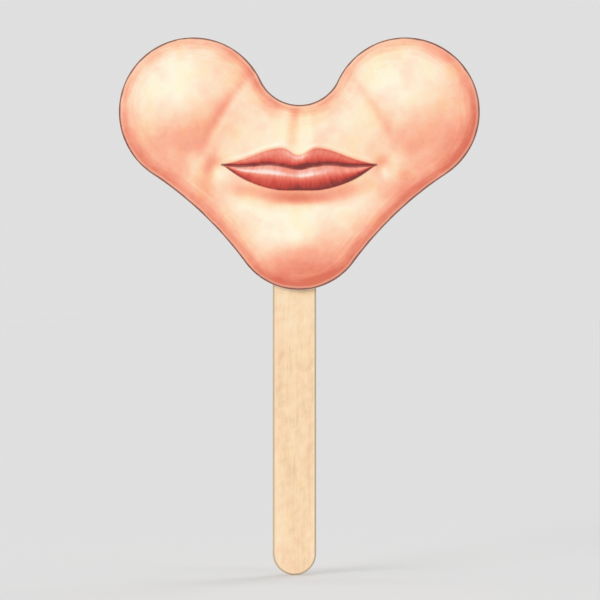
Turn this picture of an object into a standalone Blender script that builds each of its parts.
"""A lower-face photo booth prop: a die-cut card on a flat wooden stick.

The card is three layers cut to one outline: a printed sheet in front, a board core and a paper liner
behind. Two pieces of double-sided foam tape hold the stick flat against the liner.

+X is to the viewer's right, +Y points away from the viewer, from the print to the stick, and +Z runs up
the stick. The origin is under the card's middle, level with the stick's lower end, halfway through the
prop's depth. Everything is in metres.
"""

import math

import bmesh
import bpy
from mathutils import Matrix, Vector

# The card's outline, which is 150 mm wide and 105 mm high. Heights are above the chin's tip.
CHEEK_SPACING = 0.088
CHEEK_RADIUS = 0.031
CHEEK_HEIGHT = 0.074
NOTCH_DEPTH = 0.028
CHIN_RADIUS = 0.028
JAW_HOLLOW_RADIUS = 0.150

# The card's layers
SHEET_THICKNESS = 0.00025
BOARD_THICKNESS = 0.0012
LINER_THICKNESS = 0.0002

# The stick. Its upper end overlaps the card, a little to the left of the card's middle.
STICK_LENGTH = 0.150
STICK_WIDTH = 0.018
STICK_THICKNESS = 0.0016
STICK_EDGE_RADIUS = 0.0004
STICK_OVERLAP = 0.0315
STICK_OFFSET = -0.002

# The foam tape, in two pieces along the overlap
TAPE_WIDTH = 0.012
TAPE_THICKNESS = 0.001
TAPE_SPACING = 0.002
TAPE_INSET = 0.003

# The glue between each layer of the prop and the next
GLUE_LINE = 0.00005

ARC_CHORD = 0.0015
EDGE_SEGMENTS = 3
SHARP_ANGLE = math.radians(60)
WELD_DISTANCE = 0.000001
QUARTER_TURN = math.pi / 2

CARD_FOOT = STICK_LENGTH - STICK_OVERLAP


def clear_scene():
    for old in list(bpy.data.objects):
        bpy.data.objects.remove(old)


def material(name, colour, roughness):
    """A plain surface of one colour, with no metal in it."""
    made = bpy.data.materials.new(name)
    made.use_nodes = True
    shader = made.node_tree.nodes["Principled BSDF"]
    shader.inputs["Base Color"].default_value = (*colour, 1.0)
    shader.inputs["Roughness"].default_value = roughness
    shader.inputs["Metallic"].default_value = 0.0
    made.diffuse_color = (*colour, 1.0)
    return made


def arc(centre, radius, start, end, clockwise=False):
    """Points along an arc from one angle to another, with both its ends and its middle."""
    turn = -1 if clockwise else 1
    sweep = (turn * (end - start)) % math.tau
    steps = 2 * math.ceil(sweep * radius / ARC_CHORD / 2)
    angles = [start + turn * sweep * step / steps for step in range(steps + 1)]
    return [centre + radius * Vector((math.cos(angle), math.sin(angle))) for angle in angles]


def closed_run(*stretches):
    """One closed outline from stretches in order. Where two meet, their shared point is kept once."""
    points = [point for stretch in stretches for point in stretch]
    return [p for index, p in enumerate(points) if (p - points[index - 1]).length > WELD_DISTANCE]


def bearing(from_point, to_point):
    """The angle at which one point sees another."""
    across, up = to_point - from_point
    return math.atan2(up, across)


def hollow_centre(lower, lower_radius, upper, upper_radius, hollow_radius):
    """The centre of a circle that touches two others from outside, to the right of both."""
    between = upper - lower
    to_lower = lower_radius + hollow_radius
    to_upper = upper_radius + hollow_radius
    along = (to_lower**2 - to_upper**2 + between.length_squared) / (2 * between.length)
    aside = math.sqrt(to_lower**2 - along**2)
    up = between.normalized()
    return lower + along * up + aside * Vector((up.y, -up.x))


def card_outline():
    """The card's edge, anticlockwise from the chin's tip: a closed run of tangent arcs.

    Two round cheeks have a notch between them for the wearer's nose, and a shallow hollow along each
    jaw joins them to a rounded chin. The left half mirrors the right.
    """
    cheek = Vector((CHEEK_SPACING / 2, CHEEK_HEIGHT))
    chin = Vector((0.0, CHIN_RADIUS))
    jaw = hollow_centre(chin, CHIN_RADIUS, cheek, CHEEK_RADIUS, JAW_HOLLOW_RADIUS)

    # Only one circle both touches the cheeks from outside and reaches the notch's depth.
    rise = CHEEK_RADIUS - NOTCH_DEPTH
    notch_radius = (cheek.x**2 + rise**2 - CHEEK_RADIUS**2) / (2 * NOTCH_DEPTH)
    notch = Vector((0.0, CHEEK_HEIGHT + rise + notch_radius))

    right_half = [
        *arc(chin, CHIN_RADIUS, -QUARTER_TURN, bearing(chin, jaw)),
        *arc(jaw, JAW_HOLLOW_RADIUS, bearing(jaw, chin), bearing(jaw, cheek), clockwise=True),
        *arc(cheek, CHEEK_RADIUS, bearing(cheek, jaw), bearing(cheek, notch)),
        *arc(notch, notch_radius, bearing(notch, cheek), -QUARTER_TURN, clockwise=True),
    ]
    left_half = [Vector((-point.x, point.y)) for point in reversed(right_half)]
    return closed_run(right_half, left_half)


def stick_outline():
    """A strip with round ends that stands on one of them, anticlockwise from its left side."""
    end_radius = STICK_WIDTH / 2
    lower_end = arc(Vector((0.0, end_radius)), end_radius, math.pi, math.tau)
    upper_end = arc(Vector((0.0, STICK_LENGTH - end_radius)), end_radius, 0.0, math.pi)
    return closed_run(lower_end, upper_end)


def cut_flat(name, outline, thickness, surface):
    """A flat piece cut to an outline and stood up, with its origin at its middle depth."""
    curve = bpy.data.curves.new(name, "CURVE")
    curve.dimensions = "2D"
    curve.fill_mode = "BOTH"
    curve.extrude = thickness / 2
    curve.materials.append(surface)

    spline = curve.splines.new("POLY")
    spline.points.add(len(outline) - 1)
    for point, (across, up) in zip(spline.points, outline, strict=True):
        point.co = (across, up, 0.0, 1.0)
    spline.use_cyclic_u = True

    piece = bpy.data.objects.new(name, curve)
    piece.rotation_euler.x = QUARTER_TURN
    return piece


def make_card():
    """The printed sheet, the board and the liner, each with the chin's tip at its origin."""
    outline = card_outline()
    printed_paper = material("printed_paper", (0.93, 0.66, 0.51), 0.45)
    grey_board = material("grey_board", (0.48, 0.44, 0.38), 0.9)
    liner_paper = material("liner_paper", (0.86, 0.84, 0.79), 0.8)
    sheet = cut_flat("face_sheet", outline, SHEET_THICKNESS, printed_paper)
    board = cut_flat("core_board", outline, BOARD_THICKNESS, grey_board)
    liner = cut_flat("back_liner", outline, LINER_THICKNESS, liner_paper)
    for layer in (sheet, board, liner):
        layer.location.z = CARD_FOOT
    return sheet, board, liner


def make_stick():
    """The stick, with its edges eased all round by tumbling."""
    birch = material("birch", (0.91, 0.70, 0.45), 0.6)
    stick = cut_flat("handle_stick", stick_outline(), STICK_THICKNESS, birch)
    stick.location.x = STICK_OFFSET

    # The bevel needs the faces and the sides to share their edges.
    weld = stick.modifiers.new("joined_sides", "WELD")
    weld.merge_threshold = WELD_DISTANCE
    eased = stick.modifiers.new("eased_edges", "BEVEL")
    eased.width = STICK_EDGE_RADIUS
    eased.segments = EDGE_SEGMENTS
    eased.limit_method = "ANGLE"
    eased.angle_limit = SHARP_ANGLE
    return stick


def make_tape():
    """Two pieces of foam tape of one length, in line along the stick's overlap with the card."""
    length = (STICK_OVERLAP - 2 * TAPE_INSET - TAPE_SPACING) / 2
    mesh = bpy.data.meshes.new("foam_pad")
    shape = bmesh.new()
    size = Matrix.Diagonal((TAPE_WIDTH, TAPE_THICKNESS, length, 1.0))
    bmesh.ops.create_cube(shape, size=1.0, matrix=size)
    shape.to_mesh(mesh)
    shape.free()
    mesh.materials.append(material("white_foam", (0.90, 0.90, 0.88), 0.85))

    lower = bpy.data.objects.new("foam_pad_lower", mesh)
    upper = bpy.data.objects.new("foam_pad_upper", mesh)
    lower.location.z = CARD_FOOT + TAPE_INSET + length / 2
    upper.location.z = lower.location.z + length + TAPE_SPACING
    lower.location.x = STICK_OFFSET
    upper.location.x = STICK_OFFSET
    return [lower, upper]


def stack(layers):
    """Place layers one behind another from the front, centred on the origin's depth.

    Each layer is its thickness and the pieces in it.
    """
    depth = sum(thickness for thickness, _ in layers) + GLUE_LINE * (len(layers) - 1)
    front = -depth / 2
    for thickness, pieces in layers:
        for piece in pieces:
            piece.location.y = front + thickness / 2
        front += thickness + GLUE_LINE


def main():
    clear_scene()
    sheet, board, liner = make_card()
    tape = make_tape()
    stick = make_stick()
    stack([
        (SHEET_THICKNESS, [sheet]),
        (BOARD_THICKNESS, [board]),
        (LINER_THICKNESS, [liner]),
        (TAPE_THICKNESS, tape),
        (STICK_THICKNESS, [stick]),
    ])

    prop = bpy.data.objects.new("photo_booth_prop", None)
    collection = bpy.data.collections.new("photo_booth_prop")
    bpy.context.scene.collection.children.link(collection)
    collection.objects.link(prop)
    for piece in (sheet, board, liner, *tape, stick):
        piece.parent = prop
        collection.objects.link(piece)


main()
